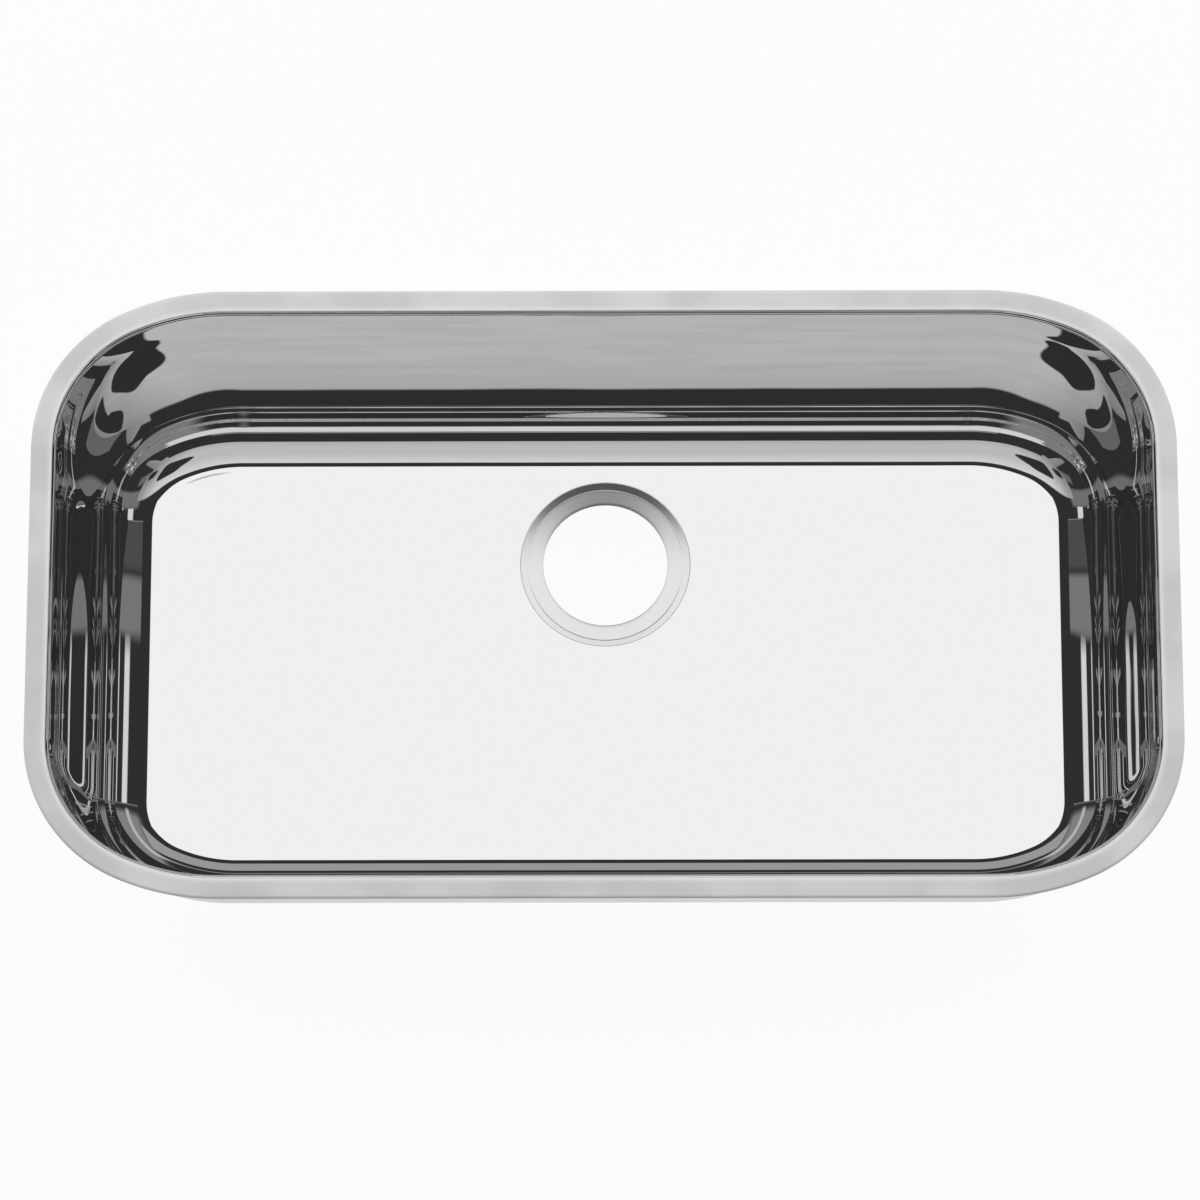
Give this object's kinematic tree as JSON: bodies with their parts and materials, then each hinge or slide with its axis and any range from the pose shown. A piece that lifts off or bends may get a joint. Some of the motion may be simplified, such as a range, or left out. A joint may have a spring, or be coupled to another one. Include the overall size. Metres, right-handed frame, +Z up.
{
  "type": "kitchen sink bowl",
  "caption": "Flat-rimmed stainless steel sink bowl with rounded corners and an open drain recess, with a rim seal, sound pads and swivel clamps that hold it in a worktop.",
  "frame": {"origin": "centre of the rim's outline, in the plane of the worktop's surface, which is the underside of the rim seal", "axes": "+X along the bowl, +Y towards the back, where the drain is, +Z up out of the bowl"},
  "size_m": [0.76, 0.415, 0.188],
  "materials": {
    "bowl_steel": "polished inside, satin on the rim, drain seat and outside",
    "seal_foam": "closed-cell foam",
    "sound_pad": "matte sheet",
    "clamp_steel": "bright zinc plate",
    "screw_steel": "bright zinc plate",
    "claw_casting": "zinc casting"
  },
  "bodies": {
    "sink": {"bowl": "bowl_steel", "rim_seal": "seal_foam", "floor_pad_left": "sound_pad", "floor_pad_right": "sound_pad", "clamp_bracket_front_left": "clamp_steel", "clamp_bracket_front_middle": "clamp_steel", "clamp_bracket_front_right": "clamp_steel", "clamp_bracket_back_left": "clamp_steel", "clamp_bracket_back_middle": "clamp_steel", "clamp_bracket_back_right": "clamp_steel", "clamp_bracket_left_side": "clamp_steel", "clamp_bracket_right_side": "clamp_steel"},
    "screw_front_left": {"clamp_screw_front_left": "screw_steel"},
    "claw_front_left": {"clamp_claw_front_left": "claw_casting"},
    "screw_front_middle": {"clamp_screw_front_middle": "screw_steel"},
    "claw_front_middle": {"clamp_claw_front_middle": "claw_casting"},
    "screw_front_right": {"clamp_screw_front_right": "screw_steel"},
    "claw_front_right": {"clamp_claw_front_right": "claw_casting"},
    "screw_back_left": {"clamp_screw_back_left": "screw_steel"},
    "claw_back_left": {"clamp_claw_back_left": "claw_casting"},
    "screw_back_middle": {"clamp_screw_back_middle": "screw_steel"},
    "claw_back_middle": {"clamp_claw_back_middle": "claw_casting"},
    "screw_back_right": {"clamp_screw_back_right": "screw_steel"},
    "claw_back_right": {"clamp_claw_back_right": "claw_casting"},
    "screw_left_side": {"clamp_screw_left_side": "screw_steel"},
    "claw_left_side": {"clamp_claw_left_side": "claw_casting"},
    "screw_right_side": {"clamp_screw_right_side": "screw_steel"},
    "claw_right_side": {"clamp_claw_right_side": "claw_casting"}
  },
  "joints": [
    {"name": "screw_turn_front_left", "type": "hinge", "parent": "sink", "child": "screw_front_left", "pos_m": [-0.20978, -0.1972, -0.03], "axis": [0, 0, 1], "range_deg": [0, 90]},
    {"name": "claw_lift_front_left", "type": "slide", "parent": "screw_front_left", "child": "claw_front_left", "axis": [0, 0, 1], "range_m": [0, 0.017]},
    {"name": "screw_turn_front_middle", "type": "hinge", "parent": "sink", "child": "screw_front_middle", "pos_m": [0, -0.1972, -0.03], "axis": [0, 0, 1], "range_deg": [0, 90]},
    {"name": "claw_lift_front_middle", "type": "slide", "parent": "screw_front_middle", "child": "claw_front_middle", "axis": [0, 0, 1], "range_m": [0, 0.017]},
    {"name": "screw_turn_front_right", "type": "hinge", "parent": "sink", "child": "screw_front_right", "pos_m": [0.20978, -0.1972, -0.03], "axis": [0, 0, 1], "range_deg": [0, 90]},
    {"name": "claw_lift_front_right", "type": "slide", "parent": "screw_front_right", "child": "claw_front_right", "axis": [0, 0, 1], "range_m": [0, 0.017]},
    {"name": "screw_turn_back_left", "type": "hinge", "parent": "sink", "child": "screw_back_left", "pos_m": [-0.20978, 0.1972, -0.03], "axis": [0, 0, 1], "range_deg": [0, 90]},
    {"name": "claw_lift_back_left", "type": "slide", "parent": "screw_back_left", "child": "claw_back_left", "axis": [0, 0, 1], "range_m": [0, 0.017]},
    {"name": "screw_turn_back_middle", "type": "hinge", "parent": "sink", "child": "screw_back_middle", "pos_m": [0, 0.1972, -0.03], "axis": [0, 0, 1], "range_deg": [0, 90]},
    {"name": "claw_lift_back_middle", "type": "slide", "parent": "screw_back_middle", "child": "claw_back_middle", "axis": [0, 0, 1], "range_m": [0, 0.017]},
    {"name": "screw_turn_back_right", "type": "hinge", "parent": "sink", "child": "screw_back_right", "pos_m": [0.20978, 0.1972, -0.03], "axis": [0, 0, 1], "range_deg": [0, 90]},
    {"name": "claw_lift_back_right", "type": "slide", "parent": "screw_back_right", "child": "claw_back_right", "axis": [0, 0, 1], "range_m": [0, 0.017]},
    {"name": "screw_turn_left_side", "type": "hinge", "parent": "sink", "child": "screw_left_side", "pos_m": [-0.3697, 0, -0.03], "axis": [0, 0, 1], "range_deg": [0, 90]},
    {"name": "claw_lift_left_side", "type": "slide", "parent": "screw_left_side", "child": "claw_left_side", "axis": [0, 0, 1], "range_m": [0, 0.017]},
    {"name": "screw_turn_right_side", "type": "hinge", "parent": "sink", "child": "screw_right_side", "pos_m": [0.3697, 0, -0.03], "axis": [0, 0, 1], "range_deg": [0, 90]},
    {"name": "claw_lift_right_side", "type": "slide", "parent": "screw_right_side", "child": "claw_right_side", "axis": [0, 0, 1], "range_m": [0, 0.017]}
  ]
}
